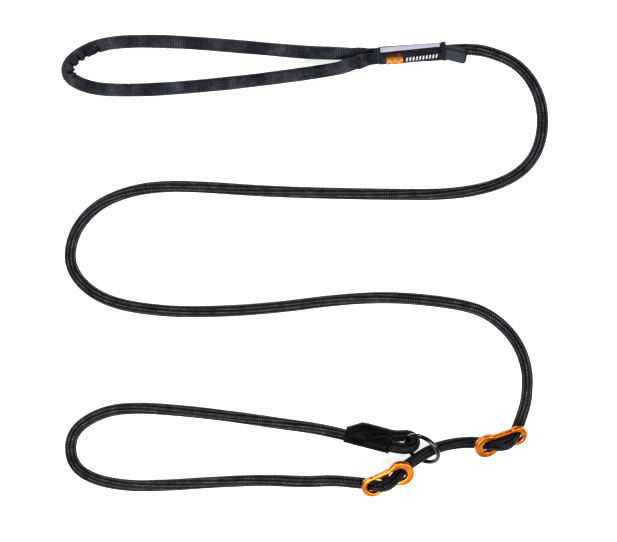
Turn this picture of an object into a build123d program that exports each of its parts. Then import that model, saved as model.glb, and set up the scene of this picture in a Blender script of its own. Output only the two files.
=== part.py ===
from build123d import *
import math
import os

# Slip-lead training leash lying flat on a surface.
# Millimetres, +Z up, floor at z = 0, origin under the middle of the whole leash.

# Rope: braided sheath over a parallel-fibre core, one length from the handle to the eye.
ROPE_R = 5.0
SHEATH_BORE_R = 3.6
CORE_R = 3.3
ARC_SHARE = 0.45

# Handle: ribbed tubular webbing over a soft cord.
HANDLE_R = 5.85
HANDLE_BORE_R = 4.65
HANDLE_CORE_R = 4.35

# Sewn join: the webbing pressed flat round the rope's end.
JOIN_WIDTH = 15.2
JOIN_HEIGHT = 12.8
JOIN_CORNER = 4.2
JOIN_WALL = 1.2
JOIN_LENGTH = 62.0
JOIN_HEADING = 4.1
JOIN_START = (62.0, 184.1)
MOUTH_WIDTH = 18.8
MOUTH_HEIGHT = 22.4
MOUTH_CORNER = 5.8
MOUTH_START = (46.2, 181.9)

# Label and stitching on the join, each a skin that follows its outside: its stretch along the join,
# and its ranges sideways and upwards from the join's middle.
LABEL_THICKNESS = 0.5
TRIM_THICKNESS = 0.3
BARTACK_THICKNESS = 0.9
ALL_ACROSS = (-12.0, 12.0)
TOP_SIDE = (1.5, 12.0)
TOP_AND_SIDES = (-2.0, 12.0)
LABEL_STRETCH = (3.4, 57.4)
STRIP_STRETCH = (4.4, 56.6)
STRIP_SIDEWAYS = (2.9, 6.3)
EMBLEM_STRETCH = (9.0, 23.6)
EMBLEM_SIDEWAYS = (-12.0, 0.6)
STITCHING_STRETCH = (1.4, 2.8)
BARTACK_STRETCH = (58.0, 61.6)

# Dashes on the label.
DASHES = 4
DASH_START = 26.0
DASH_PITCH = 7.0
DASH_LENGTH = 5.0
DASH_SIDEWAYS = (-6.2, -3.6)
DASH_CLIMB = 0.4

# Pull tab: webbing folded back on itself.
TAB_THICKNESS = 2.2
TAB_SLOT = 0.5
TAB_BOTTOM = 11.6
TAB_CORNER_R = 1.5
TAB_OUTLINE = [(124.3, 194.2), (137.7, 191.2), (142.1, 187.7), (140.3, 178.9), (135.9, 177.2), (125.4, 180.7)]
TAB_SLOT_OUTLINE = [(120.0, 198.0), (135.0, 198.0), (139.0, 187.4), (137.0, 172.0), (120.0, 172.0)]

# Stoppers: figure-eight plates with a small and a big lobe.
SMALL_LOBE_R = 9.7
BIG_LOBE_R = 11.8
SMALL_LOBE_X = -13.5
BIG_LOBE_X = 14.1
WAIST_WIDTH = 18.0
HOLE_WIDTH = 11.4
HOLE_CORNER = 5.5
SMALL_HOLE = (-18.2, -3.0)
BIG_HOLE = (3.0, 19.0)
STOPPER_THICKNESS = 5.0
STOPPER_EDGE = 1.6
OUTER_STOPPER_CENTRE = (172.8, -153.0, 14.6)
OUTER_STOPPER_TURN = (198.5, -39.0, 8.5)
INNER_STOPPER_CENTRE = (71.2, -187.5, 14.7)
INNER_STOPPER_TURN = (25.1, 28.0, 6.0)

# Ring: welded steel, leaning on the rope.
RING_R = 15.8
RING_WIRE_R = 2.0
RING_CENTRE = (102.6, -160.0, 15.0)
RING_LONG_AXIS = -35.0
RING_TILT = 54.0

# Sleeve: wraps the eye's two strands.
SLEEVE_START = (34.9, -148.3)
SLEEVE_HEADING = -14.0
SLEEVE_IN_R = 5.9
SLEEVE_OUT_R = 6.6
WHIPPING_IN_R = 5.25
WHIPPING_OUT_R = 5.6
# How far along it, the neck strand's height, and the tail strand's distance aside and height.
SLEEVE_STATIONS = [
    (0.0, 7.1, 0.8, 7.1),
    (6.0, 8.7, 4.5, 6.9),
    (12.0, 10.7, 8.3, 6.7),
    (18.0, 12.4, 8.6, 6.6),
    (41.0, 14.8, 8.3, 6.7),
]
WHIPPING_STATIONS = [(25.0, 13.3, 8.5, 6.45), (34.0, 14.15, 8.35, 6.4)]

# Route of the rope, from its end inside the join to its end inside the sleeve.
ROPE_ROUTE = [
    (72.0, 184.9, 6.45),
    (97.0, 186.5, 6.45),
    (124.0, 189.1, 6.45),
    (141.0, 190.3, 5.2),
    (159.0, 188.9, 5.0),
    (186.5, 178.2, 5.0),
    (204.6, 154.7, 5.0),
    (210.2, 123.8, 5.0),
    (201.6, 92.8, 5.0),
    (176.1, 72.8, 5.0),
    (132.0, 62.6, 5.0),
    (73.0, 62.8, 5.0),
    (10.0, 64.0, 5.0),
    (-40.0, 65.8, 5.0),
    (-92.0, 69.6, 5.0),
    (-128.0, 70.0, 5.0),
    (-158.2, 64.7, 5.0),
    (-185.0, 52.1, 5.0),
    (-204.5, 27.8, 5.0),
    (-207.3, -4.4, 5.0),
    (-178.3, -30.9, 5.0),
    (-126.3, -40.2, 5.0),
    (-70.0, -40.0, 5.0),
    (-20.0, -36.0, 5.0),
    (25.0, -30.0, 5.0),
    (66.0, -27.4, 5.0),
    (100.0, -29.0, 5.0),
    (136.9, -33.8, 5.0),
    (160.8, -41.3, 5.0),
    (183.8, -61.7, 5.0),
    (195.4, -88.9, 5.0),
    (194.9, -116.0, 5.0),
    (190.3, -132.0, 5.1),
    # through the outer stopper: under the small lobe, over the bar, under the big lobe
    (185.6, -144.0, 5.3),
    (180.0, -154.7, 21.0),
    (171.1, -157.7, 22.9),
    (153.8, -154.9, 9.8),
    # slip run, over the low side of the ring
    (140.0, -154.6, 10.0),
    (126.0, -156.4, 10.3),
    (114.0, -159.8, 10.9),
    (104.5, -164.6, 11.2),
    (97.3, -169.4, 10.9),
    # through the inner stopper: under the big lobe, over the bar, under the small lobe
    (86.4, -177.0, 8.4),
    (76.0, -189.5, 23.1),
    (68.0, -193.5, 22.3),
    (55.8, -191.3, 5.0),
    # neck loop
    (42.0, -189.8, 5.0),
    (24.0, -188.2, 5.0),
    (0.0, -189.6, 5.0),
    (-34.0, -187.8, 5.0),
    (-78.0, -189.6, 5.0),
    (-125.0, -192.8, 5.0),
    (-158.9, -193.0, 5.0),
    (-189.2, -186.2, 5.0),
    (-205.9, -171.9, 5.0),
    (-205.3, -146.0, 5.0),
    (-182.5, -129.6, 5.0),
    (-153.8, -123.8, 5.0),
    (-102.9, -127.3, 5.0),
    (-56.0, -133.2, 5.0),
    (-22.0, -138.3, 5.0),
    (6.0, -142.0, 5.0),
    (27.5, -146.4, 5.2),
    # eye: through the sleeve, round the ring's wire and back
    (42.0, -150.0, 9.0),
    (56.0, -153.6, 13.2),
    (74.0, -158.2, 14.8),
    (91.4, -160.5, 15.9),
    (97.1, -155.1, 10.5),
    (93.3, -148.2, 5.1),
    (76.0, -149.9, 6.2),
    (53.7, -144.2, 6.5),
]
OUTER_FIRST_RUN = 32
OUTER_LAST_RUN = 36
INNER_FIRST_RUN = 41
INNER_LAST_RUN = 45
EYE_FIRST_RUN = 62

# Route of the handle loop, from the leg that runs under at the join to the leg that runs over.
HANDLE_ROUTE = [
    (45.2, 185.8, 5.85),
    (26.0, 186.7, 5.85),
    (0.0, 187.4, 5.85),
    (-50.9, 192.0, 5.85),
    (-115.1, 197.1, 5.85),
    (-162.9, 197.3, 5.85),
    (-187.7, 191.9, 5.85),
    (-207.8, 179.2, 5.85),
    (-208.5, 165.6, 5.85),
    (-191.3, 156.8, 5.85),
    (-168.3, 154.0, 5.85),
    (-126.1, 154.9, 5.85),
    (-62.4, 160.6, 5.85),
    (-12.0, 167.0, 5.85),
    (15.0, 170.8, 7.4),
    (31.0, 173.4, 12.4),
    (44.0, 177.7, 16.5),
]


def corner_radii(points):
    """One arc radius for each corner: as large as its two runs allow."""
    radii = []
    for before, corner, after in zip(points, points[1:], points[2:]):
        run_in = Vector(*corner) - Vector(*before)
        run_out = Vector(*after) - Vector(*corner)
        half_turn = math.radians(run_in.get_angle(run_out)) / 2
        shorter = min(run_in.length, run_out.length)
        radii.append(ARC_SHARE * shorter / math.tan(half_turn))
    return radii


def middle(a, b):
    return tuple((p + q) / 2 for p, q in zip(a, b))


ROPE_RADII = corner_radii(ROPE_ROUTE)
HANDLE_RADII = corner_radii(HANDLE_ROUTE)


def rope_line(first_run, last_run):
    """The rope's centreline from the middle of one run to the middle of another, or to an end."""
    last_corner = len(ROPE_ROUTE) - 2
    start = ROPE_ROUTE[0]
    if first_run > 0:
        start = middle(ROPE_ROUTE[first_run], ROPE_ROUTE[first_run + 1])
    end = ROPE_ROUTE[-1]
    if last_run <= last_corner:
        end = middle(ROPE_ROUTE[last_run], ROPE_ROUTE[last_run + 1])
    corners = range(first_run + 1, min(last_run, last_corner) + 1)
    points = [start] + [ROPE_ROUTE[i] for i in corners] + [end]
    with BuildLine() as line:
        FilletPolyline(*points, radius=[ROPE_RADII[i - 1] for i in corners])
    return line.wire()


def tube(line, outer_r, bore_r):
    """A round tube, or a round cord where bore_r is 0, along a line."""
    with BuildPart() as body:
        with BuildSketch(Plane(origin=line @ 0, z_dir=line % 0)):
            Circle(outer_r)
            if bore_r > 0:
                Circle(bore_r, mode=Mode.SUBTRACT)
        sweep(path=line)
    return body.part


def write(part, name):
    part.label = name
    export_step(part, f"parts/{name}.step")


def rope_span(name, first_run, last_run):
    """One stretch of rope: its braided sheath and the core inside it."""
    line = rope_line(first_run, last_run)
    sheath = tube(line, ROPE_R, SHEATH_BORE_R)
    write(sheath, f"{name}_sheath")
    write(tube(line, CORE_R, 0), f"{name}_core")
    section = math.pi * (ROPE_R**2 - SHEATH_BORE_R**2)
    print(f"{name}: {line.length:.1f} mm, volume ratio {sheath.volume / (section * line.length):.4f}")


def handle():
    with BuildLine() as loop:
        FilletPolyline(*HANDLE_ROUTE, radius=HANDLE_RADII)
    line = loop.wire()
    write(tube(line, HANDLE_R, HANDLE_BORE_R), "handle_webbing")
    write(tube(line, HANDLE_CORE_R, 0), "handle_core")
    print(f"handle: {line.length:.1f} mm")


def join_plane(along, start=JOIN_START, height=JOIN_HEIGHT):
    """Cross plane of the join: its x runs sideways, towards the outside of the leash, its y up."""
    heading = math.radians(JOIN_HEADING)
    ahead = (math.cos(heading), math.sin(heading), 0)
    aside = (-math.sin(heading), math.cos(heading), 0)
    return Plane(origin=(*start, height / 2), x_dir=aside, z_dir=ahead).offset(along)


def join_shape(shrink):
    """The join's outside, or its hollow when shrunk by the wall."""
    corner = JOIN_CORNER - shrink
    with BuildPart() as shape:
        with BuildSketch(join_plane(0, MOUTH_START, MOUTH_HEIGHT)):
            RectangleRounded(MOUTH_WIDTH - 2 * shrink, MOUTH_HEIGHT - 2 * shrink, MOUTH_CORNER - shrink)
        with BuildSketch(join_plane(0)):
            RectangleRounded(JOIN_WIDTH - 2 * shrink, JOIN_HEIGHT - 2 * shrink, corner)
        loft(ruled=True)
        with BuildSketch(join_plane(0)):
            RectangleRounded(JOIN_WIDTH - 2 * shrink, JOIN_HEIGHT - 2 * shrink, corner)
        extrude(amount=JOIN_LENGTH)
    return shape.part


def join_webbing():
    with BuildPart() as join:
        add(join_shape(0))
        add(join_shape(JOIN_WALL), mode=Mode.SUBTRACT)
    write(join.part, "join_webbing")


def join_skin(stretch, lift, thickness, sideways, upwards):
    """A skin on the join between two distances along it, cut to a range sideways and upwards."""
    start, end = stretch
    grow = 2 * (lift + thickness)
    with BuildPart() as skin:
        with BuildSketch(join_plane(start)):
            RectangleRounded(JOIN_WIDTH + grow, JOIN_HEIGHT + grow, JOIN_CORNER + grow / 2)
            RectangleRounded(JOIN_WIDTH + 2 * lift, JOIN_HEIGHT + 2 * lift, JOIN_CORNER + lift,
                             mode=Mode.SUBTRACT)
            with Locations(((sideways[0] + sideways[1]) / 2, (upwards[0] + upwards[1]) / 2)):
                Rectangle(sideways[1] - sideways[0], upwards[1] - upwards[0], mode=Mode.INTERSECT)
        extrude(amount=end - start)
    return skin.part


def label_threads():
    """A row of sewn dashes that climbs a little across the label."""
    with BuildPart() as threads:
        for dash in range(DASHES):
            start = DASH_START + DASH_PITCH * dash
            sideways = [side + DASH_CLIMB * dash for side in DASH_SIDEWAYS]
            stretch = (start, start + DASH_LENGTH)
            add(join_skin(stretch, LABEL_THICKNESS, TRIM_THICKNESS, sideways, TOP_SIDE))
    return threads.part


def join_trim():
    """The label, what is sewn on it, and the stitching at both of the join's ends."""
    label = join_skin(LABEL_STRETCH, 0, LABEL_THICKNESS, ALL_ACROSS, TOP_SIDE)
    strip = join_skin(STRIP_STRETCH, LABEL_THICKNESS, TRIM_THICKNESS, STRIP_SIDEWAYS, TOP_SIDE)
    emblem = join_skin(EMBLEM_STRETCH, LABEL_THICKNESS, TRIM_THICKNESS, EMBLEM_SIDEWAYS, TOP_SIDE)
    stitching = join_skin(STITCHING_STRETCH, 0, LABEL_THICKNESS, ALL_ACROSS, TOP_AND_SIDES)
    bartack = join_skin(BARTACK_STRETCH, 0, BARTACK_THICKNESS, ALL_ACROSS, TOP_AND_SIDES)
    write(label, "label_patch")
    write(strip, "reflective_strip")
    write(emblem, "emblem_patch")
    write(label_threads(), "label_threads")
    write(stitching, "join_stitching")
    write(bartack, "end_bartack")


def pull_tab():
    """A loop of webbing lying flat: its two layers, with a slot between them up to the fold."""
    with BuildPart() as tab:
        with BuildSketch(Plane.XY.offset(TAB_BOTTOM)):
            with BuildLine():
                Polyline(*TAB_OUTLINE, close=True)
            make_face()
        extrude(amount=TAB_THICKNESS)
        fillet(tab.edges().filter_by(Axis.Z).group_by(Axis.X)[-1], TAB_CORNER_R)
        with BuildSketch(Plane.XY.offset(TAB_BOTTOM + (TAB_THICKNESS - TAB_SLOT) / 2)):
            with BuildLine():
                Polyline(*TAB_SLOT_OUTLINE, close=True)
            make_face()
        extrude(amount=TAB_SLOT, mode=Mode.SUBTRACT)
    write(tab.part, "pull_tab")


def stopper_plate():
    """Figure-eight plate, its x from the small lobe to the big one."""
    with BuildPart() as plate:
        with BuildSketch():
            with Locations((SMALL_LOBE_X, 0)):
                Circle(SMALL_LOBE_R)
            with Locations((BIG_LOBE_X, 0)):
                Circle(BIG_LOBE_R)
            with Locations(((SMALL_LOBE_X + BIG_LOBE_X) / 2, 0)):
                Rectangle(BIG_LOBE_X - SMALL_LOBE_X, WAIST_WIDTH)
            for start, end in (SMALL_HOLE, BIG_HOLE):
                with Locations(((start + end) / 2, 0)):
                    RectangleRounded(end - start, HOLE_WIDTH, HOLE_CORNER, mode=Mode.SUBTRACT)
        extrude(amount=STOPPER_THICKNESS / 2, both=True)
        fillet(plate.faces().sort_by(Axis.Z)[-1].edges(), STOPPER_EDGE)
        fillet(plate.faces().sort_by(Axis.Z)[0].edges(), STOPPER_EDGE)
    return plate.part


def stopper(name, centre, turn):
    """A stopper where it lies: pitch lifts its big lobe, and roll turns it about its length."""
    heading, roll, pitch = turn
    place = Location(centre) * Rotation(0, 0, heading) * Rotation(0, -pitch, 0) * Rotation(roll, 0, 0)
    write(Plane(place).from_local_coords(stopper_plate()), name)


def slip_ring():
    heading = math.radians(RING_LONG_AXIS)
    tilt = math.radians(RING_TILT)
    long_axis = Vector(math.cos(heading), math.sin(heading), 0)
    up_slope = Vector(-math.sin(heading) * math.cos(tilt), math.cos(heading) * math.cos(tilt), math.sin(tilt))
    with BuildPart(Plane(origin=RING_CENTRE, x_dir=long_axis, z_dir=long_axis.cross(up_slope))) as ring:
        Torus(RING_R, RING_WIRE_R)
    write(ring.part, "slip_ring")


def strand_plane(along, neck_z, tail_aside, tail_z):
    """Plane across the sleeve, its x from the neck strand to the tail strand."""
    heading = math.radians(SLEEVE_HEADING)
    ahead = Vector(math.cos(heading), math.sin(heading), 0)
    aside = Vector(-math.sin(heading), math.cos(heading), 0)
    neck = Vector(*SLEEVE_START, neck_z) + ahead * along
    tail = Vector(*SLEEVE_START, tail_z) + ahead * along + aside * tail_aside
    return Plane(origin=(neck + tail) / 2, x_dir=tail - neck, z_dir=ahead), (tail - neck).length


def strand_wrap(stations, radius):
    """Closed shape round both strands: slots on cross planes, joined by straight lines."""
    with BuildPart() as wrap:
        for station in stations:
            plane, apart = strand_plane(*station)
            with BuildSketch(plane):
                SlotCenterToCenter(apart, 2 * radius)
        loft(ruled=True)
    return wrap.part


def sleeve_and_whipping():
    with BuildPart() as sleeve:
        add(strand_wrap(SLEEVE_STATIONS, SLEEVE_OUT_R))
        add(strand_wrap(SLEEVE_STATIONS, SLEEVE_IN_R), mode=Mode.SUBTRACT)
    write(sleeve.part, "end_sleeve")
    with BuildPart() as whipping:
        add(strand_wrap(WHIPPING_STATIONS, WHIPPING_OUT_R))
        add(strand_wrap(WHIPPING_STATIONS, WHIPPING_IN_R), mode=Mode.SUBTRACT)
    write(whipping.part, "eye_whipping")


def main():
    os.makedirs("parts", exist_ok=True)
    print("rope radii", [round(r, 1) for r in ROPE_RADII])
    print("handle radii", [round(r, 1) for r in HANDLE_RADII])
    handle()
    join_webbing()
    join_trim()
    pull_tab()
    rope_span("lead", 0, OUTER_FIRST_RUN)
    rope_span("outer_weave", OUTER_FIRST_RUN, OUTER_LAST_RUN)
    rope_span("slip_run", OUTER_LAST_RUN, INNER_FIRST_RUN)
    rope_span("inner_weave", INNER_FIRST_RUN, INNER_LAST_RUN)
    rope_span("neck_loop", INNER_LAST_RUN, EYE_FIRST_RUN)
    rope_span("eye", EYE_FIRST_RUN, len(ROPE_ROUTE))
    stopper("outer_stopper", OUTER_STOPPER_CENTRE, OUTER_STOPPER_TURN)
    stopper("inner_stopper", INNER_STOPPER_CENTRE, INNER_STOPPER_TURN)
    slip_ring()
    sleeve_and_whipping()


main()
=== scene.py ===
import math

import bpy
import numpy as np
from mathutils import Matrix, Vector

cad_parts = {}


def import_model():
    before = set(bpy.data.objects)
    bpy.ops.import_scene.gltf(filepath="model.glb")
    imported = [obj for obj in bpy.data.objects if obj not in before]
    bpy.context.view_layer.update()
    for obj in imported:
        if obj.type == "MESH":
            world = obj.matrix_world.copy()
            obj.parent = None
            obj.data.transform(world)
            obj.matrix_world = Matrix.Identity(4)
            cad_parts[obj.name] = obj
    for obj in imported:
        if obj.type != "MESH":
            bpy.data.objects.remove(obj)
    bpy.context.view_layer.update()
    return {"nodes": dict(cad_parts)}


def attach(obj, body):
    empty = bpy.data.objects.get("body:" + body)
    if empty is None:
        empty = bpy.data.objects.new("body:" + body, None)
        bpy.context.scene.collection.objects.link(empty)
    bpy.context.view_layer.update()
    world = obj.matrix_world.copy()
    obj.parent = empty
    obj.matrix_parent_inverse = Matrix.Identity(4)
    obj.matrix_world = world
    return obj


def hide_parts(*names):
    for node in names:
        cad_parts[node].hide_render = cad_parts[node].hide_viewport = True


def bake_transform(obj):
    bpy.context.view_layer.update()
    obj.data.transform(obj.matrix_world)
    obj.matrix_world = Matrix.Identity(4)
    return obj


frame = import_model()

# Metres, +Z up, floor at z = 0. A shade runs from 0 in the weave's gaps to 1 on its crowns; in the braid and
# the ribbed webbing this is painted shade in the gaps and painted highlight on the crowns.
TAU = 2 * math.pi
MM = 0.001

ROPE_R = 0.0050
ROPE_CROWN_R = 0.0053
BRAID_DEPTH = 0.00055
BRAID_PLAITS = 10
BRAID_STITCH = 0.0021
BRAID_LEAN = 0.8
BRAID_TWIST = 0.9
BRAID_TWIST_SCALE = 0.8
ROPE_RING_STEP = 0.00046
ROPE_RING_POINTS = 60
ROPE_UNEVEN = 0.00005
# How far painted shade darkens the rope between the stoppers and in the eye.
ROPE_PAINTED_SHADE = 0.17

HANDLE_R = 0.00585
HANDLE_RIB_R = 0.00615
RIB_PITCH = 0.00145
RIB_DEPTH = 0.00032
RIB_ZIGZAGS = 14
HANDLE_RING_STEP = 0.00032
HANDLE_RING_POINTS = 54
HANDLE_UNEVEN = 0.00010
HANDLE_MIDDLE = (-0.09, 0.1755, HANDLE_R)
# Where the join grips the hand loop's ends, the webbing is squeezed in.
TUCK_DEPTH = 0.0005
TUCK_FIRST = 0.017
TUCK_LAST = 0.012

JOIN_START = np.array((0.0620, 0.1841))
JOIN_HEADING = math.radians(4.1)
JOIN_LENGTH = 0.0620
JOIN_HALF_WIDTH = 0.0076
JOIN_HALF_HEIGHT = 0.0064
JOIN_SQUARENESS = 3.3
JOIN_RING_STEP = 0.00040
JOIN_RING_POINTS = 84
JOIN_RIB_PITCH = 0.0016
JOIN_RIB_DEPTH = 0.0003
# The join's mouth, where its skin wraps the handle's two legs, one above the other.
MOUTH = -0.0165
MOUTH_LIP = 0.0012
MOUTH_LIFT = 0.0048
MOUTH_ASIDE = -0.0011
MOUTH_AXIS = math.radians(127)
MOUTH_HALF = 0.0066
MOUTH_R = 0.0062
MOUTH_WAIST = 0.0016
MOUTH_CREASE = 0.0012

# The label lies on the join, and the tape and the emblem lie on the label.
LABEL_SPAN = (0.0034, 0.0574)
LABEL_THICKNESS = 0.0005
TAPE_SPAN = (0.0044, 0.0566)
EMBLEM_SPAN = (0.0090, 0.0236)
TRIM_THICKNESS = 0.0003
PATCH_POINTS = 48
# The plain strokes on the label, in groups of threads, and the seams at the label's two ends.
STROKES = 10
STROKE_START = 0.0262
STROKE_PITCH = 0.0029
STROKE_THREADS = 3
STROKE_THREAD_PITCH = 0.00042
STROKE_THREAD_R = 0.00026
SEAM_STITCHES = 11
SEAM_AT = 0.0021
SEAM_THREAD_R = 0.00028
BARTACK_ROWS = 8
BARTACK_START = 0.0583
BARTACK_PITCH = 0.00046
BARTACK_STEPS = 34
BARTACK_THREAD_R = 0.00034

SLEEVE_START = np.array((0.0349, -0.1483))
SLEEVE_HEADING = math.radians(-14)
SLEEVE_R = 0.0065
SLEEVE_WALL = 0.0009
SLEEVE_LENGTH = 0.0410
SLEEVE_HEM = 0.0376
SLEEVE_RINGS = 150
SLEEVE_RING_POINTS = 110
# How far along it, the neck strand's height, and the tail strand's distance aside and height.
SLEEVE_STATIONS = np.array([
    (0.0, 7.1, 0.8, 7.1), (6.0, 8.7, 4.5, 6.9), (12.0, 10.7, 8.3, 6.7), (18.0, 12.4, 8.6, 6.6),
    (41.0, 14.8, 8.3, 6.7),
]) * MM

# The pull tab's corners on the floor plan.
TAB_LEFT = ((0.1230, 0.1942), (0.1235, 0.1808))
TAB_RIGHT = ((0.1421, 0.1912), (0.1397, 0.1768))
TAB_LENGTH = 0.0165
TAB_HALF = 0.00105
TAB_SHEET = 0.00085
TAB_HEIGHT = 0.0127

CURVE_STEPS = 24

ROPE_ROUTE = [
    (0.0720, 0.1849, 0.00645), (0.0970, 0.1865, 0.00645), (0.1240, 0.1891, 0.00645),
    (0.1410, 0.1903, 0.0052), (0.1590, 0.1889, 0.0050), (0.1865, 0.1782, 0.0050),
    (0.2046, 0.1547, 0.0050), (0.2102, 0.1238, 0.0050), (0.2016, 0.0928, 0.0050),
    (0.1761, 0.0728, 0.0050), (0.1320, 0.0626, 0.0050), (0.0730, 0.0628, 0.0050),
    (0.0100, 0.0640, 0.0050), (-0.0400, 0.0658, 0.0050), (-0.0920, 0.0696, 0.0050),
    (-0.1280, 0.0700, 0.0050), (-0.1582, 0.0647, 0.0050), (-0.1850, 0.0521, 0.0050),
    (-0.2045, 0.0278, 0.0050), (-0.2073, -0.0044, 0.0050), (-0.1783, -0.0309, 0.0050),
    (-0.1263, -0.0402, 0.0050), (-0.0700, -0.0400, 0.0050), (-0.0200, -0.0360, 0.0050),
    (0.0250, -0.0300, 0.0050), (0.0660, -0.0274, 0.0050), (0.1000, -0.0290, 0.0050),
    (0.1369, -0.0338, 0.0050), (0.1608, -0.0413, 0.0050), (0.1838, -0.0617, 0.0050),
    (0.1954, -0.0889, 0.0050), (0.1949, -0.1160, 0.0050), (0.1903, -0.1320, 0.0051),
    # through the outer stopper
    (0.1856, -0.1440, 0.0053), (0.1800, -0.1547, 0.0210), (0.1711, -0.1577, 0.0229),
    (0.1538, -0.1549, 0.0098),
    # slip run
    (0.1400, -0.1546, 0.0100), (0.1260, -0.1564, 0.0103), (0.1140, -0.1598, 0.0109),
    (0.1045, -0.1646, 0.0112), (0.0973, -0.1694, 0.0109),
    # through the inner stopper
    (0.0864, -0.1770, 0.0084), (0.0760, -0.1895, 0.0231), (0.0680, -0.1935, 0.0223),
    (0.0558, -0.1913, 0.0050),
    # neck loop
    (0.0420, -0.1898, 0.0050), (0.0240, -0.1882, 0.0050), (0.0000, -0.1896, 0.0050),
    (-0.0340, -0.1878, 0.0050), (-0.0780, -0.1896, 0.0050), (-0.1250, -0.1928, 0.0050),
    (-0.1589, -0.1930, 0.0050), (-0.1892, -0.1862, 0.0050), (-0.2059, -0.1719, 0.0050),
    (-0.2053, -0.1460, 0.0050), (-0.1825, -0.1296, 0.0050), (-0.1538, -0.1238, 0.0050),
    (-0.1029, -0.1273, 0.0050), (-0.0560, -0.1332, 0.0050), (-0.0220, -0.1383, 0.0050),
    (0.0060, -0.1420, 0.0050), (0.0275, -0.1464, 0.0052),
    # eye
    (0.0420, -0.1500, 0.0090), (0.0560, -0.1536, 0.0132), (0.0740, -0.1582, 0.0148),
    (0.0914, -0.1605, 0.0159), (0.0971, -0.1551, 0.0105), (0.0933, -0.1482, 0.0051),
    (0.0760, -0.1499, 0.0062), (0.0537, -0.1442, 0.0065),
]
# The route's runs in whose middles one rope piece ends and the next begins.
LEAD_SPLIT_RUN = 16
OUTER_FIRST_RUN = 32
SLIP_SPLIT_RUN = 38
INNER_LAST_RUN = 45
NECK_SPLIT_RUN = 54
EYE_FIRST_RUN = 62

HANDLE_ROUTE = [
    (0.0530, 0.1862, 0.0062), (0.0452, 0.1858, 0.00585), (0.0260, 0.1867, 0.00585),
    (0.0000, 0.1874, 0.00585), (-0.0509, 0.1920, 0.00585), (-0.1151, 0.1971, 0.00585),
    (-0.1629, 0.1973, 0.00585), (-0.1877, 0.1919, 0.00585), (-0.2078, 0.1792, 0.00585),
    (-0.2085, 0.1656, 0.00585), (-0.1913, 0.1568, 0.00585), (-0.1683, 0.1540, 0.00585),
    (-0.1261, 0.1549, 0.00585), (-0.0624, 0.1606, 0.00585), (-0.0120, 0.1670, 0.00585),
    (0.0150, 0.1708, 0.0074), (0.0310, 0.1734, 0.0124), (0.0440, 0.1777, 0.0163),
    (0.0525, 0.1808, 0.0145),
]
# Creases inside the hand loop's bend: where each one is, and how deep it cuts, which also sets how dark its
# painted shade is.
CREASES = [
    ((-0.2042, 0.1705), 0.0013), ((-0.2015, 0.1752), 0.0016), ((-0.1966, 0.1795), 0.0015),
    ((-0.1905, 0.1837), 0.0013), ((-0.1805, 0.1876), 0.0008), ((-0.2045, 0.1640), 0.0004),
]


# Curves


def read_route(route):
    """Points along the smooth line that the route controls, as the curve's own mesh gives them."""
    curve = bpy.data.curves.new("route", "CURVE")
    curve.dimensions = "3D"
    curve.resolution_u = CURVE_STEPS
    spline = curve.splines.new("NURBS")
    spline.points.add(len(route) - 1)
    for point, place in zip(spline.points, route):
        point.co = (*place, 1.0)
    spline.order_u = 3
    spline.use_endpoint_u = True
    holder = bpy.data.objects.new("route", curve)
    bpy.context.scene.collection.objects.link(holder)
    bpy.context.view_layer.update()
    mesh = bpy.data.meshes.new_from_object(holder)
    line = np.array([v.co for v in mesh.vertices])
    bpy.data.objects.remove(holder)
    bpy.data.curves.remove(curve)
    bpy.data.meshes.remove(mesh)
    return line


def ring_angles(count):
    return np.arange(count) / count * TAU


def bell(distance, width):
    return np.exp(-((distance / width) ** 2))


def ease(value):
    return 0.5 + 0.5 * np.tanh(value)


def round_section(angle, normals, binormals):
    """Directions round a line at each angle, one ring per point of the line."""
    return np.cos(angle)[None, :, None] * normals[:, None] + np.sin(angle)[None, :, None] * binormals[:, None]


class Line:
    """A centreline with a frame at every point that turns as little as it can."""

    def __init__(self, points):
        steps = np.linalg.norm(np.diff(points, axis=0), axis=1)
        self.s = np.concatenate([[0.0], np.cumsum(steps)])
        self.points = points
        self.tangents = np.gradient(points, self.s, axis=0)
        self.tangents /= np.linalg.norm(self.tangents, axis=1)[:, None]
        up = np.array((0.0, 0.0, 1.0))
        normals = []
        for tangent in self.tangents:
            up = up - tangent * (up @ tangent)
            up = up / np.linalg.norm(up)
            normals.append(up)
        self.normals = np.array(normals)

    def at(self, s):
        """Centres, tangents, normals and binormals at distances s along the line."""
        def pick(values):
            return np.stack([np.interp(s, self.s, values[:, k]) for k in range(3)], axis=1)

        centres, tangents, normals = pick(self.points), pick(self.tangents), pick(self.normals)
        tangents /= np.linalg.norm(tangents, axis=1)[:, None]
        normals -= tangents * (normals * tangents).sum(1)[:, None]
        normals /= np.linalg.norm(normals, axis=1)[:, None]
        return centres, tangents, normals, np.cross(tangents, normals)

    def nearest(self, place):
        """Distance along the line of the point nearest a place on the floor plan."""
        return self.s[np.argmin(np.hypot(*(self.points[:, :2] - place).T))]


# Meshes


def grid_faces(rows, cols, offset=0):
    """Faces and their corner grid positions for rows of closed rings, with both ends capped."""
    i = np.arange(rows - 1)[:, None]
    j = np.arange(cols)[None, :]
    ring = (j + 1) % cols
    quads = np.stack([i * cols + j, i * cols + ring, (i + 1) * cols + ring, (i + 1) * cols + j], axis=-1)
    corner_row = np.stack([i + 0 * j, i + 0 * j, i + 1 + 0 * j, i + 1 + 0 * j], axis=-1)
    corner_col = np.stack([0 * i + j, 0 * i + j + 1, 0 * i + j + 1, 0 * i + j], axis=-1)
    first = np.arange(cols)[::-1]
    last = (rows - 1) * cols + np.arange(cols)
    loops = np.concatenate([quads.ravel(), first, last]) + offset
    sizes = np.concatenate([np.full((rows - 1) * cols, 4), [cols, cols]])
    row = np.concatenate([corner_row.ravel(), np.zeros(cols, int), np.full(cols, rows - 1)])
    col = np.concatenate([corner_col.ravel(), first, np.arange(cols)])
    return loops, sizes, row, col


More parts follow.
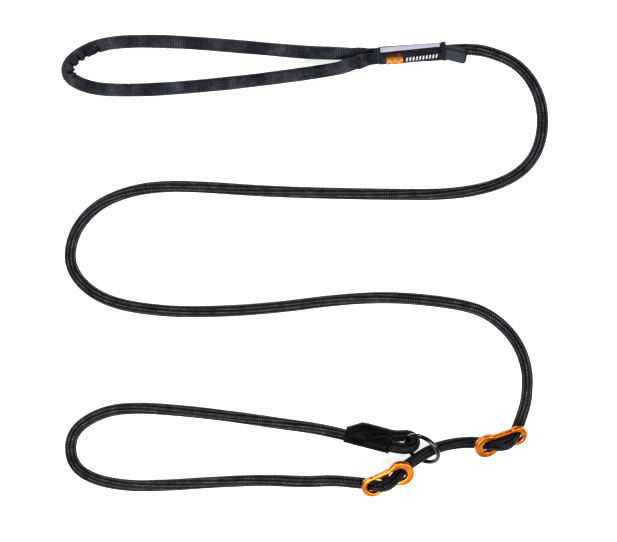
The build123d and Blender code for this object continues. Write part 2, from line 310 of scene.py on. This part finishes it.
def make_piece(name, grids, material):
    """One object from grids of closed rings. Each is (points, u, v, shade), with a shade per point."""
    points, loops, sizes, uv, shades = [], [], [], [], []
    offset = 0
    for grid, u, v, shade in grids:
        rows, cols = grid.shape[:2]
        face_loops, face_sizes, row, col = grid_faces(rows, cols, offset)
        points.append(grid.reshape(-1, 3))
        loops.append(face_loops)
        sizes.append(face_sizes)
        around = np.append(v, 2 * v[-1] - v[-2])
        uv.append(np.stack([np.asarray(u)[row], around[col]], axis=1))
        shades.append(np.broadcast_to(shade, (rows, cols)).ravel())
        offset += rows * cols
    points, loops, sizes = np.concatenate(points), np.concatenate(loops), np.concatenate(sizes)
    mesh = bpy.data.meshes.new(name)
    mesh.vertices.add(len(points))
    mesh.vertices.foreach_set("co", points.astype(np.float32).ravel())
    mesh.loops.add(len(loops))
    mesh.loops.foreach_set("vertex_index", loops.astype(np.int32))
    mesh.polygons.add(len(sizes))
    starts = np.concatenate([[0], np.cumsum(sizes)[:-1]])
    mesh.polygons.foreach_set("loop_start", starts.astype(np.int32))
    mesh.update(calc_edges=True)
    mesh.validate()
    mesh.polygons.foreach_set("use_smooth", sizes == 4)
    layer = mesh.uv_layers.new(name="UVMap")
    layer.data.foreach_set("uv", np.concatenate(uv).astype(np.float32).ravel())
    shade = mesh.attributes.new("shade", "FLOAT", "POINT")
    shade.data.foreach_set("value", np.concatenate(shades).astype(np.float32))
    piece = bpy.data.objects.new(name, mesh)
    bpy.context.scene.collection.objects.link(piece)
    mesh.materials.append(material)
    return piece


def thread(points, radius, sides=8):
    """A thin round thread through a few points, with rounded ends, as one grid."""
    line = Line(np.array(points, float))
    cap = np.array((0.0, 0.25, 0.7)) * radius
    length = line.s[-1]
    s = np.concatenate([cap, np.linspace(radius, length - radius, max(3, len(points))), length - cap[::-1]])
    width = np.concatenate([(0.35, 0.75, 0.95), np.ones(len(s) - 6), (0.95, 0.75, 0.35)]) * radius
    centres, _, normals, binormals = line.at(s)
    angle = ring_angles(sides)
    ring = round_section(angle, normals, binormals)
    return centres[:, None] + ring * width[:, None, None], s, angle * radius, 1.0


def wander(s, scale, seed):
    """A smooth wandering value along s, about -1 to 1."""
    rng = np.random.default_rng(seed)
    value = 0 * s
    for k in (1.0, 1.7, 2.9, 4.3):
        value = value + np.sin(s * TAU * k / scale + rng.uniform(0, TAU)) / k
    return value / 1.6


# Materials


def node(tree, kind, **settings):
    made = tree.nodes.new(kind)
    for name, value in settings.items():
        setattr(made, name, value)
    return made


def start_material(name, roughness, metallic=0.0, coat=0.0, coat_roughness=0.1, sheen=0.0,
                   specular=0.5):
    material = bpy.data.materials.new(name)
    material.use_nodes = True
    tree = material.node_tree
    shader = tree.nodes["Principled BSDF"]
    shader.inputs["Roughness"].default_value = roughness
    shader.inputs["Metallic"].default_value = metallic
    shader.inputs["Coat Weight"].default_value = coat
    shader.inputs["Coat Roughness"].default_value = coat_roughness
    shader.inputs["Sheen Weight"].default_value = sheen
    shader.inputs["Sheen Roughness"].default_value = 0.4
    shader.inputs["Specular IOR Level"].default_value = specular
    return material, tree, shader


def add_bump(tree, shader, height, strength, distance):
    bump = node(tree, "ShaderNodeBump")
    bump.inputs["Strength"].default_value = strength
    bump.inputs["Distance"].default_value = distance
    tree.links.new(height, bump.inputs["Height"])
    tree.links.new(bump.outputs["Normal"], shader.inputs["Normal"])


def colour_ramp(tree, factor, stops):
    ramp = node(tree, "ShaderNodeValToRGB")
    elements = ramp.color_ramp.elements
    elements[0].position, elements[0].color = stops[0][0], (*stops[0][1], 1)
    elements[1].position, elements[1].color = stops[-1][0], (*stops[-1][1], 1)
    for place, colour in stops[1:-1]:
        made = elements.new(place)
        made.color = (*colour, 1)
    tree.links.new(factor, ramp.inputs["Fac"])
    return ramp.outputs["Color"]


def noise(tree, vector, scale, detail=3.0):
    made = node(tree, "ShaderNodeTexNoise")
    made.inputs["Scale"].default_value = scale
    made.inputs["Detail"].default_value = detail
    tree.links.new(vector, made.inputs["Vector"])
    return made.outputs["Fac"]


def math_node(tree, operation, a, b):
    made = node(tree, "ShaderNodeMath", operation=operation)
    for socket, value in zip(made.inputs, (a, b)):
        if isinstance(value, (int, float)):
            socket.default_value = value
        else:
            tree.links.new(value, socket)
    return made.outputs["Value"]


def centred(tree, value, strength):
    """A noise's value moved to either side of zero."""
    return math_node(tree, "MULTIPLY", math_node(tree, "SUBTRACT", value, 0.5), strength)


def cloth(name, yarn_scale, colours, roughness=0.6, sheen=0.0, specular=0.08, fleck=0.2):
    """Woven cloth: colour from the weave's height, broken up by yarn noise, with fine yarn bump."""
    material, tree, shader = start_material(name, roughness, sheen=sheen, specular=specular)
    shade = node(tree, "ShaderNodeAttribute", attribute_name="shade").outputs["Fac"]
    place = node(tree, "ShaderNodeTexCoord")
    yarn = noise(tree, place.outputs["Object"], yarn_scale)
    broad = noise(tree, place.outputs["Object"], yarn_scale / 14)
    mixed = math_node(tree, "ADD", shade, centred(tree, yarn, fleck))
    mixed = math_node(tree, "ADD", mixed, centred(tree, broad, 0.5))
    colour = colour_ramp(tree, mixed, list(zip((0.12, 0.62, 1.0), colours)))
    tree.links.new(colour, shader.inputs["Base Color"])
    add_bump(tree, shader, yarn, 0.35, 0.0002)
    return material


def coated_metal(name, colours, scale, roughness, metallic, coat, grain):
    """Metal with a coloured finish: small changes of tint, fine grain in the bump."""
    material, tree, shader = start_material(name, roughness, metallic=metallic, coat=coat,
                                            coat_roughness=0.12)
    place = node(tree, "ShaderNodeTexCoord")
    tint = noise(tree, place.outputs["Object"], scale)
    colour = colour_ramp(tree, tint, [(0.3, colours[0]), (0.7, colours[1])])
    tree.links.new(colour, shader.inputs["Base Color"])
    add_bump(tree, shader, noise(tree, place.outputs["Object"], scale * 12), grain, 0.00006)
    return material


# Cloth colours run from the weave's gaps through its middle to its crowns; where a piece's shade follows its
# weave's height, the gap colours are painted shade and the crown colours painted highlight.
rope_cloth = cloth(
    "rope_braid", 2000, [(0.0004, 0.0004, 0.0006), (0.0058, 0.0059, 0.0080), (0.140, 0.140, 0.160)],
    roughness=0.48, specular=0.06, fleck=0.8)
handle_cloth = cloth(
    "handle_rib", 1900, [(0.0003, 0.0003, 0.0006), (0.0100, 0.0106, 0.0168), (0.078, 0.081, 0.110)],
    specular=0.06, fleck=0.9)
join_cloth = cloth(
    "join_rib", 1900, [(0.0002, 0.0002, 0.0005), (0.0046, 0.0049, 0.0080), (0.048, 0.050, 0.070)],
    specular=0.05, fleck=0.6)
label_cloth = cloth(
    "label_weave", 1500, [(0.0003, 0.0003, 0.0007), (0.0074, 0.0078, 0.0124), (0.075, 0.078, 0.102)],
    specular=0.05, fleck=1.5)
tab_cloth = cloth(
    "tab_weave", 1500, [(0.0030, 0.0032, 0.0045), (0.0220, 0.0226, 0.0290), (0.044, 0.045, 0.056)],
    specular=0.10, fleck=0.25)
strip_cloth = cloth(
    "reflective_tape", 1400, [(0.22, 0.22, 0.28), (0.31, 0.31, 0.385), (0.40, 0.40, 0.48)],
    roughness=0.5, specular=0.2, fleck=0.3)
emblem_cloth = cloth(
    "emblem_weave", 2000, [(0.022, 0.006, 0.003), (0.36, 0.100, 0.006), (0.50, 0.30, 0.09)], fleck=0.3)
light_thread = cloth(
    "light_thread", 3000, [(0.25, 0.25, 0.28), (0.38, 0.38, 0.42), (0.50, 0.50, 0.53)], specular=0.12)
seam_thread = cloth(
    "seam_thread", 3000, [(0.006, 0.006, 0.008), (0.020, 0.020, 0.026), (0.050, 0.050, 0.060)],
    specular=0.10)
dark_thread = cloth(
    "dark_thread", 3000, [(0.0003, 0.0003, 0.0004), (0.0018, 0.0018, 0.0026), (0.010, 0.010, 0.013)],
    roughness=0.55, fleck=0.45)
core_cloth = cloth(
    "core_yarn", 1500, [(0.10, 0.10, 0.09), (0.20, 0.20, 0.18), (0.30, 0.30, 0.27)],
    roughness=0.62, sheen=0.25, specular=0.35, fleck=0.45)
sleeve_rubber = cloth(
    "shrunk_sleeve", 900, [(0.0001, 0.0001, 0.0002), (0.0008, 0.0008, 0.0012), (0.005, 0.005, 0.007)],
    roughness=0.5, specular=0.05, fleck=0.12)
orange_metal = coated_metal(
    "orange_anodised", [(0.34, 0.058, 0.002), (0.76, 0.220, 0.010)], 120, 0.30, 0.90, 0.10, 0.5)
ring_metal = coated_metal(
    "black_ring", [(0.0010, 0.0010, 0.0015), (0.0030, 0.0030, 0.0042)], 150, 0.20, 0.4, 0.05, 0.1)


# Rope


def braid(s, angle):
    """Height of the braid, a plait of V-shaped stitches per column: 0 in the gaps and 1 on the crowns."""
    across = 2 * np.abs((angle / TAU * BRAID_PLAITS) % 1 - 0.5)
    phase = s / BRAID_STITCH + across * BRAID_LEAN
    along = phase - np.floor(phase) - 0.5
    crown = 0.35 + 0.65 * np.cos(math.pi * along) ** 0.9
    side = 0.18 + 0.82 * np.cos(0.47 * math.pi * across) ** 0.9
    return crown * side


rope_line = Line(read_route(ROPE_ROUTE))
handle_line = Line(read_route(HANDLE_ROUTE))


def run_middle(run):
    """Distance along the rope of the middle of a run of its route, or of the route's end."""
    share = min(run / (len(ROPE_ROUTE) - 2), 1.0)
    return np.interp(share * (len(rope_line.s) - 1), np.arange(len(rope_line.s)), rope_line.s)


def painted_shade_share(s):
    """How much painted shade darkens the rope: 1 between the stoppers and in the eye."""
    outer = ease((s - run_middle(OUTER_FIRST_RUN)) / 0.012)
    inner = ease((s - run_middle(INNER_LAST_RUN)) / 0.012)
    return outer - inner + ease((s - run_middle(EYE_FIRST_RUN + 1)) / 0.008)


def rope_piece(name, first_run, last_run, replaced):
    """The braided rope between the middles of two runs, or the route's ends."""
    start, end = run_middle(first_run), run_middle(last_run)
    s = np.linspace(start, end, max(8, int(round((end - start) / ROPE_RING_STEP))))
    centres, _, normals, binormals = rope_line.at(s)
    angle = ring_angles(ROPE_RING_POINTS)
    twist = BRAID_TWIST * wander(s, BRAID_TWIST_SCALE, 6)[:, None]
    height = braid(s[:, None], angle[None, :] + twist)
    uneven = ROPE_UNEVEN * (1 + wander(s, 0.11, 3))[:, None]
    radius = ROPE_CROWN_R - BRAID_DEPTH * (1 - height) - uneven
    grid = centres[:, None] + round_section(angle, normals, binormals) * radius[..., None]
    grid[..., 2] = np.maximum(grid[..., 2], 0.0)
    # Painted shade in the braid's gaps and painted highlight on its crowns, with painted shade between the
    # stoppers and in the eye.
    shade = 0.10 + 0.80 * height ** 1.8 - ROPE_PAINTED_SHADE * painted_shade_share(s)[:, None]
    piece = make_piece(name, [(grid, s, angle * ROPE_R, shade)], rope_cloth)
    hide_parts(*replaced)
    return piece


lead_first = rope_piece("lead_rope_first", 0, LEAD_SPLIT_RUN, ["lead_sheath", "lead_core"])
lead_second = rope_piece("lead_rope_second", LEAD_SPLIT_RUN, OUTER_FIRST_RUN, ["lead_sheath"])
outer_rope = rope_piece("outer_weave_rope", OUTER_FIRST_RUN, SLIP_SPLIT_RUN,
                        ["outer_weave_sheath", "outer_weave_core", "slip_run_sheath", "slip_run_core"])
inner_rope = rope_piece("inner_weave_rope", SLIP_SPLIT_RUN, INNER_LAST_RUN,
                        ["inner_weave_sheath", "inner_weave_core"])
neck_first = rope_piece("neck_rope_first", INNER_LAST_RUN, NECK_SPLIT_RUN,
                        ["neck_loop_sheath", "neck_loop_core"])
neck_second = rope_piece("neck_rope_second", NECK_SPLIT_RUN, EYE_FIRST_RUN, ["neck_loop_sheath"])
eye_rope = rope_piece("eye_rope", EYE_FIRST_RUN, len(ROPE_ROUTE), ["eye_sheath"])

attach(lead_first, "leash")
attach(eye_rope, "slip_end")
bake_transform(lead_second)
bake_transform(outer_rope)
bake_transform(inner_rope)
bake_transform(neck_first)
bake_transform(neck_second)


# Handle


def handle_loop():
    """The webbing of the hand loop: ribs across it, and creases on the inside of its bend, with painted shade
    in the ribs' grooves and in the creases.
    """
    length = handle_line.s[-1]
    s = np.arange(0, length, HANDLE_RING_STEP)
    centres, tangents, normals, binormals = handle_line.at(s)
    angle = ring_angles(HANDLE_RING_POINTS)
    zigzag = np.abs((angle / TAU * RIB_ZIGZAGS) % 1 - 0.5)
    phase = s[:, None] / RIB_PITCH + 0.5 * zigzag[None, :] + 0.35 * wander(s, 0.09, 8)[:, None]
    rib = 0.5 + 0.5 * np.cos(TAU * phase)
    uneven = HANDLE_UNEVEN * (1 + wander(s, 0.06, 5))[:, None]
    radius = HANDLE_RIB_R - RIB_DEPTH * (1 - rib ** 0.7) - uneven
    # Painted shade in the rib grooves and lighter rib crowns, plus a random change of tone along the loop.
    shade = 0.12 + 0.70 * rib + 0.12 * wander(s, 0.05, 21)[:, None]
    inward = np.array(HANDLE_MIDDLE) - centres
    inward -= tangents * (inward * tangents).sum(1)[:, None]
    inward /= np.linalg.norm(inward, axis=1)[:, None]
    ring = round_section(angle, normals, binormals)
    facing = (ring * inward[:, None]).sum(2)
    reach = np.clip(facing + 0.30, 0, 1.30) / 1.30
    for place, depth in CREASES:
        slant = (s - handle_line.nearest(place))[:, None] - 0.0012 * facing
        dent = bell(slant, 0.0005 + 0.0011 * reach) * reach
        swell = bell(np.abs(slant) - 0.0033, 0.0018) * np.clip(facing, 0, 1)
        radius = radius - depth * dent + 0.22 * depth * swell
        # Painted shade in the crease.
        shade = shade - 1.1 * np.clip(1.8 * dent, 0, 1) * min(depth / 0.0012, 1)
    radius = radius - TUCK_DEPTH * (bell(s, TUCK_FIRST) + bell(length - s, TUCK_LAST))[:, None]
    grid = centres[:, None] + ring * radius[..., None]
    grid[..., 2] = np.maximum(grid[..., 2], 0.0)
    piece = make_piece("handle_loop", [(grid, s, angle * HANDLE_R, shade)], handle_cloth)
    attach(piece, "leash")
    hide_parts("handle_webbing", "handle_core")


handle_loop()


# Join: u runs along it, the angle round it, from its side through its top.


def heading_axes(heading):
    """Unit vectors along a heading on the floor and to its left."""
    ahead = np.array((math.cos(heading), math.sin(heading), 0.0))
    return ahead, np.array((-ahead[1], ahead[0], 0.0))


def slot_reach(turn, half, radius):
    """Distance from the middle of a rounded slot to its edge, turn being the angle from its length."""
    side, along = np.abs(np.sin(turn)), np.abs(np.cos(turn))
    flat = radius / np.maximum(side, 1e-6)
    rounded = half * along + np.sqrt(np.maximum(radius ** 2 - (half * side) ** 2, 0))
    return np.where(flat * along < half, flat, rounded)


def rounded_reach(angle):
    """Distance to the join's skin, a rounded rectangle, from its middle."""
    return (np.abs(np.cos(angle) / JOIN_HALF_WIDTH) ** JOIN_SQUARENESS
            + np.abs(np.sin(angle) / JOIN_HALF_HEIGHT) ** JOIN_SQUARENESS) ** (-1 / JOIN_SQUARENESS)


def mouth_reach(angle):
    """Distance to the skin that wraps the handle's two legs, one above the other."""
    turn = angle - MOUTH_AXIS
    waist = bell(np.abs(np.sin(turn)) - 1, 0.10)
    return slot_reach(turn, MOUTH_HALF, MOUTH_R) - MOUTH_WAIST * waist


def join_point(u, angle, lift):
    """A point on the join's skin, or that far outside it."""
    u, angle, lift = np.broadcast_arrays(u, angle, lift)
    open_share = np.clip(u / MOUTH, 0, 1)
    open_share = (open_share ** 2 * (3 - 2 * open_share)) ** 1.4
    reach = rounded_reach(angle) * (1 - open_share) + mouth_reach(angle) * open_share + lift
    side = reach * np.cos(angle) + MOUTH_ASIDE * open_share
    height = JOIN_HALF_HEIGHT + MOUTH_LIFT * open_share + reach * np.sin(angle)
    ahead, aside = heading_axes(JOIN_HEADING)
    place = np.array((*JOIN_START, 0.0)) + u[..., None] * ahead + side[..., None] * aside
    place[..., 2] = np.maximum(height, 0)
    return place


def join_cover():
    """The sewn webbing: ribs across it, a lip at its mouth, and a crease between the two legs, with painted
    shade in the ribs' grooves and in the crease.
    """
    u = np.arange(MOUTH - MOUTH_LIP, JOIN_LENGTH, JOIN_RING_STEP)
    angle = ring_angles(JOIN_RING_POINTS)
    phase = u[:, None] / JOIN_RIB_PITCH + 0.35 * wander(angle * 3, 2.2, 4)[None, :]
    rib = (0.5 + 0.5 * np.cos(TAU * phase)) ** 0.7
    lip = bell(u - u[0], MOUTH_LIP)[:, None]
    pinch = bell(u - 0.0005, 0.0035)[:, None]
    open_share = np.clip(u / MOUTH, 0, 1)[:, None]
    crease_at = np.radians(60 - 23 * open_share)
    crease = bell(angle[None, :] - crease_at, 0.13) * np.clip(3 * open_share, 0, 1)
    lift = -JOIN_RIB_DEPTH * (1 - rib) - 0.0003 * pinch - 0.0006 * lip - MOUTH_CREASE * crease
    # Painted shade in the rib grooves and in the crease between the legs.
    shade = 0.04 + 0.80 * rib - 0.9 * crease
    grid = join_point(u[:, None], angle[None, :], lift)
    piece = make_piece("join_cover", [(grid, u, angle * 0.007, shade)], join_cloth)
    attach(piece, "leash")
    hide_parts("join_webbing")


def patch_grid(u0, u1, low, high, lift, thickness, step, shade):
    """A thin closed skin on the join from u0 to u1. low and high give its edges' angles at each u."""
    u = np.arange(u0, u1, step)
    u = np.concatenate([[u0, u0 + 0.0001], u[1:], [u1 - 0.0001, u1]])
    across = np.linspace(0, 1, PATCH_POINTS)[None, :]
    lows, highs = low(u)[:, None], high(u)[:, None]
    over = lows + (highs - lows) * across
    full = np.ones((len(u), PATCH_POINTS))
    full[[0, -1]] = 0.35
    full[:, [0, -1]] = 0.35
    bumps = fine_weave(u[:, None], over) * thickness * 0.3
    top = join_point(u[:, None], over, lift + (thickness - bumps) * full)
    bottom = join_point(u[:, None], over[:, ::-1], -0.0001)
    grid = np.concatenate([top, bottom], axis=1)
    tone = shade(u[:, None], over) + 0 * over
    tone = np.concatenate([tone, tone[:, ::-1]], axis=1)
    return grid, u, np.arange(2 * PATCH_POINTS) * 0.0004, tone


def level(value):
    return lambda u: 0 * u + math.radians(value)


def patch_piece(name, grids, material, node_name):
    piece = make_piece(name, grids, material)
    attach(piece, "leash")
    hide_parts(node_name)


def fine_weave(u, angle):
    return 0.5 + 0.5 * np.sin(TAU * u / 0.0011) * np.sin(TAU * angle * 7 / 1.1)


def slanting(low_angle, high_angle, u0, u1):
    """An edge whose angle changes evenly along the join."""
    return lambda u: np.radians(low_angle + (high_angle - low_angle) * (u - u0) / (u1 - u0))


def emblem_shade(u, angle):
    """Plain two-tone weave: dark on its left side, and orange with a paler wavy stripe on its right."""
    degrees = np.degrees(angle)
    band = 1 / (1 + np.exp((111 - degrees) / 3.0))
    stripe = bell(degrees - 136 + 7 * np.sin(u * TAU / 0.0052), 8)
    return 0.10 + 0.44 * band + 0.42 * stripe * band


def label_shade(u, angle):
    return 0.20 + 0.5 * fine_weave(u, angle)


def tape_shade(u, angle):
    return 0.62 + 0.1 * fine_weave(u, angle)


join_cover()
label = patch_grid(*LABEL_SPAN, level(12), level(170), 0.0, LABEL_THICKNESS, 0.0004, label_shade)
patch_piece("label", [label], label_cloth, "label_patch")
tape = patch_grid(*TAPE_SPAN, slanting(38, 26, *TAPE_SPAN), slanting(69, 57, *TAPE_SPAN),
                  LABEL_THICKNESS, TRIM_THICKNESS, 0.0005, tape_shade)
patch_piece("reflective_tape", [tape], strip_cloth, "reflective_strip")
emblem = patch_grid(*EMBLEM_SPAN, level(86), level(172),
                    LABEL_THICKNESS, TRIM_THICKNESS, 0.0004, emblem_shade)
patch_piece("emblem", [emblem], emblem_cloth, "emblem_patch")


def label_strokes():
    """A row of raised slanting stitches over a thin line, in place of lettering, with no letters."""
    grids = []
    for stroke in range(STROKES):
        middle = 128 - 1.0 * stroke
        for k in range(STROKE_THREADS):
            u = STROKE_START + STROKE_PITCH * stroke + STROKE_THREAD_PITCH * k
            points = [join_point(u + 0.0009 * t, math.radians(middle + 11 * (1 - 2 * t)), 0.00075)
                      for t in (0, 0.5, 1)]
            grids.append(thread(points, STROKE_THREAD_R))
    along = np.linspace(0.0268, 0.0430, 20)
    line = join_point(along, np.radians(155 - 200 * (along - STROKE_START)), 0.00065)
    grids.append(thread(line, STROKE_THREAD_R))
    patch_piece("label_strokes", grids, light_thread, "label_threads")


def stitch_row():
    """Light stitches across the join, at the hand loop's side of the label."""
    grids = []
    for k in range(SEAM_STITCHES):
        low = 14 + 14.2 * k
        points = [join_point(SEAM_AT, math.radians(low + t), 0.00015 + 0.0004 * math.sin(math.pi * t / 11))
                  for t in (0, 3.5, 7.5, 11)]
        grids.append(thread(points, SEAM_THREAD_R))
    patch_piece("join_stitches", grids, seam_thread, "join_stitching")


def bartack():
    """Close rows of dark thread over the join's end, with a knot on its left."""
    grids = []
    step = np.arange(BARTACK_STEPS)
    sweep = np.radians(np.linspace(4, 176, BARTACK_STEPS))
    knot = 0.0006 * bell(sweep - math.radians(38), 0.22)
    for row in range(BARTACK_ROWS):
        u = BARTACK_START + BARTACK_PITCH * row + 0.00022 * np.sin(step * 1.9 + row * 2.1)
        rise = 0.0004 + 0.00022 * np.abs(np.sin(step * 0.95 + row)) + knot
        grids.append(thread(join_point(u, sweep, rise), BARTACK_THREAD_R, 7))
    patch_piece("bartack", grids, dark_thread, "end_bartack")


label_strokes()
stitch_row()
bartack()


def tab_section():
    """The folded webbing's outline, as distances along the tab (0 to 1) and heights."""
    straight = np.linspace(0, 1, 40)
    fold = np.linspace(math.pi / 2, -math.pi / 2, 12)[1:-1]

    def layer(half):
        bend = [(1 + half * math.cos(f) / TAB_LENGTH, half * math.sin(f)) for f in fold]
        return [(x, half) for x in straight] + bend + [(x, -half) for x in straight[::-1]]

    return np.array(layer(TAB_HALF)[::-1] + layer(TAB_HALF - TAB_SHEET))


def pull_tab():
    """A short loop of flat webbing, folded at its right edge, its two layers lying together, with painted
    shade at its folded edge and a painted shadow line along its upper part.
    """
    across = np.linspace(0, 1, 46)
    (left_top, left_bottom), (right_top, right_bottom) = np.array(TAB_LEFT), np.array(TAB_RIGHT)
    left = left_top + (left_bottom - left_top) * across[:, None]
    right = right_top + (right_bottom - right_top) * across[:, None]
    corner = 0.0042 * np.exp(-across / 0.12) + 0.0024 * np.exp(-(1 - across) / 0.09)
    way = right - left
    way /= np.linalg.norm(way, axis=1)[:, None]
    right = right - way * corner[:, None]
    along, height = tab_section().T
    base = left[:, None] + (right - left)[:, None] * along[None, :, None]
    sag = TAB_HEIGHT - 0.0009 * across[:, None] ** 2 - 0.0004 * along[None, :] ** 2
    rib = 0.5 + 0.5 * np.cos(TAU * across[:, None] / 0.085)
    z = sag + height[None, :] - 0.00008 * rib
    grid = np.concatenate([base, z[..., None]], axis=2)
    # Painted shade towards the folded end, and a painted shadow line along the tab near its upper edge.
    edge = bell(along - 1.0, 0.05)[None, :]
    fold_shadow = bell(across[:, None] - 0.26 - 0.05 * along[None, :], 0.045)
    shade = 0.56 + 0.18 * rib - 0.40 * edge - 0.80 * fold_shadow
    piece = make_piece("webbing_tab", [(grid, across * 0.014, along * 0.016, shade)], tab_cloth)
    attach(piece, "leash")
    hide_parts("pull_tab")


pull_tab()


# Sleeve over the eye's two strands


def sleeve():
    """The shrunk sleeve: an oblong tube round both strands, creased along its top between them, with painted
    shade in the crease, at the hem and inside, and painted highlight on the ridge and the lip.
    """
    t = np.linspace(0, SLEEVE_LENGTH, SLEEVE_RINGS)
    angle = ring_angles(SLEEVE_RING_POINTS)
    places, *columns = SLEEVE_STATIONS.T
    neck_z, tail_aside, tail_z = (np.interp(t, places, column) for column in columns)
    half = np.hypot(tail_aside, tail_z - neck_z)[:, None] / 2
    turn = angle[None, :] - np.arctan2(tail_z - neck_z, tail_aside)[:, None]
    ahead, aside = heading_axes(SLEEVE_HEADING)
    base = np.array((*SLEEVE_START, 0.0)) + t[:, None, None] * ahead

    def placed(reach):
        side = tail_aside[:, None] / 2 + reach * np.cos(angle)[None, :]
        skin = base + side[..., None] * aside
        skin[..., 2] = np.maximum((neck_z + tail_z)[:, None] / 2 + reach * np.sin(angle)[None, :], 0)
        return skin

    crease_at = math.radians(72) + 0.30 * np.sin(t * TAU / 0.021 + 0.6) - 0.25 * t / SLEEVE_LENGTH
    past_crease = angle[None, :] - crease_at[:, None]
    begin = np.clip(t / 0.006, 0, 1)[:, None]
    crease = bell(past_crease, 0.16) * begin
    ridge = bell(past_crease - 0.30, 0.14) * begin
    ripple = wander(t, 0.024, 12)[:, None] * np.cos(3 * angle)[None, :]
    hem = bell(t - SLEEVE_HEM, 0.0005)[:, None]
    lip = bell(t, 0.0012)[:, None]
    lift = 0.00020 * ridge - 0.0006 * crease + 0.00012 * ripple - 0.00035 * hem + 0.0003 * lip
    # Painted shade in the crease and at the hem, painted highlight on the ridge and the lip, and lighter
    # where the ripples rise.
    shade = 0.30 - 0.2 * crease + 0.25 * ridge + 0.1 * ripple - 0.3 * hem + 0.2 * lip
    outside = placed(slot_reach(turn, half, SLEEVE_R) + lift)
    inside = placed(slot_reach(turn, half, SLEEVE_R - SLEEVE_WALL))
    grid = np.concatenate([inside[[3, 0]], outside, inside[[-1, -4]]])
    # The inside takes the darkest value: painted shade inside the tube.
    shade = np.concatenate([0 * shade[:2], shade, 0 * shade[:2]])
    u = np.concatenate([t[[3, 0]], t, t[[-1, -4]]])
    piece = make_piece("strand_sleeve", [(grid, u, angle * SLEEVE_R, shade)], sleeve_rubber)
    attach(piece, "slip_end")
    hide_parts("end_sleeve")


sleeve()


# CAD nodes that show as they are

SHOWN_AS_THEY_ARE = {
    "outer_stopper": orange_metal,
    "inner_stopper": orange_metal,
    "slip_ring": ring_metal,
    "eye_core": core_cloth,
    "eye_whipping": dark_thread,
}
for name, material in SHOWN_AS_THEY_ARE.items():
    shown = frame["nodes"][name]
    shown.data.materials.clear()
    shown.data.materials.append(material)


# Floor, light and camera

FLOOR_GLOW = 0.80
WORLD_LIGHT = 0.11


def area_light(name, place, target, size, power, colour):
    lamp = bpy.data.lights.new(name, "AREA")
    lamp.shape = "DISK"
    lamp.size = size
    lamp.energy = power
    lamp.color = colour
    holder = bpy.data.objects.new(name, lamp)
    holder.location = place
    holder.rotation_euler = (Vector(target) - Vector(place)).to_track_quat("-Z", "Y").to_euler()
    bpy.context.scene.collection.objects.link(holder)


def floor():
    """A white floor that gives off a little light, as in a bright studio sweep."""
    bpy.ops.mesh.primitive_plane_add(size=6, location=(0, 0, -0.0002))
    ground = bpy.context.active_object
    ground.name = "floor"
    material, tree, shader = start_material("floor_white", 0.9, specular=0.1)
    shader.inputs["Base Color"].default_value = (0.85, 0.85, 0.85, 1)
    shader.inputs["Emission Color"].default_value = (1.0, 1.0, 1.0, 1)
    shader.inputs["Emission Strength"].default_value = FLOOR_GLOW
    ground.data.materials.append(material)


def world():
    made = bpy.data.worlds.new("studio")
    made.use_nodes = True
    background = made.node_tree.nodes["Background"]
    background.inputs["Color"].default_value = (0.97, 0.98, 1.0, 1)
    background.inputs["Strength"].default_value = WORLD_LIGHT
    bpy.context.scene.world = made


floor()
world()
area_light("front", (0.10, -1.05, 1.25), (0, 0, 0), 0.75, 36, (0.97, 0.98, 1.0))
area_light("key", (-0.75, 0.85, 0.95), (0, 0, 0), 0.5, 22, (1.0, 0.98, 0.95))
area_light("side", (1.10, -0.50, 1.0), (0, 0, 0), 0.5, 16, (0.98, 0.98, 1.0))

CAMERA_LENS = 300
SENSOR = 36
VIEW_WIDTH = 0.541109
VIEW_CENTRE = (0.00307, -0.00439)

lens = bpy.data.cameras.new("camera")
lens.lens = CAMERA_LENS
lens.sensor_width = SENSOR
lens.clip_end = 50
camera = bpy.data.objects.new("camera", lens)
camera.location = (*VIEW_CENTRE, VIEW_WIDTH * CAMERA_LENS / SENSOR + 0.008)
camera.rotation_euler = (0, 0, 0)
bpy.context.scene.collection.objects.link(camera)
bpy.context.scene.camera = camera
bpy.context.scene.view_settings.view_transform = "Standard"
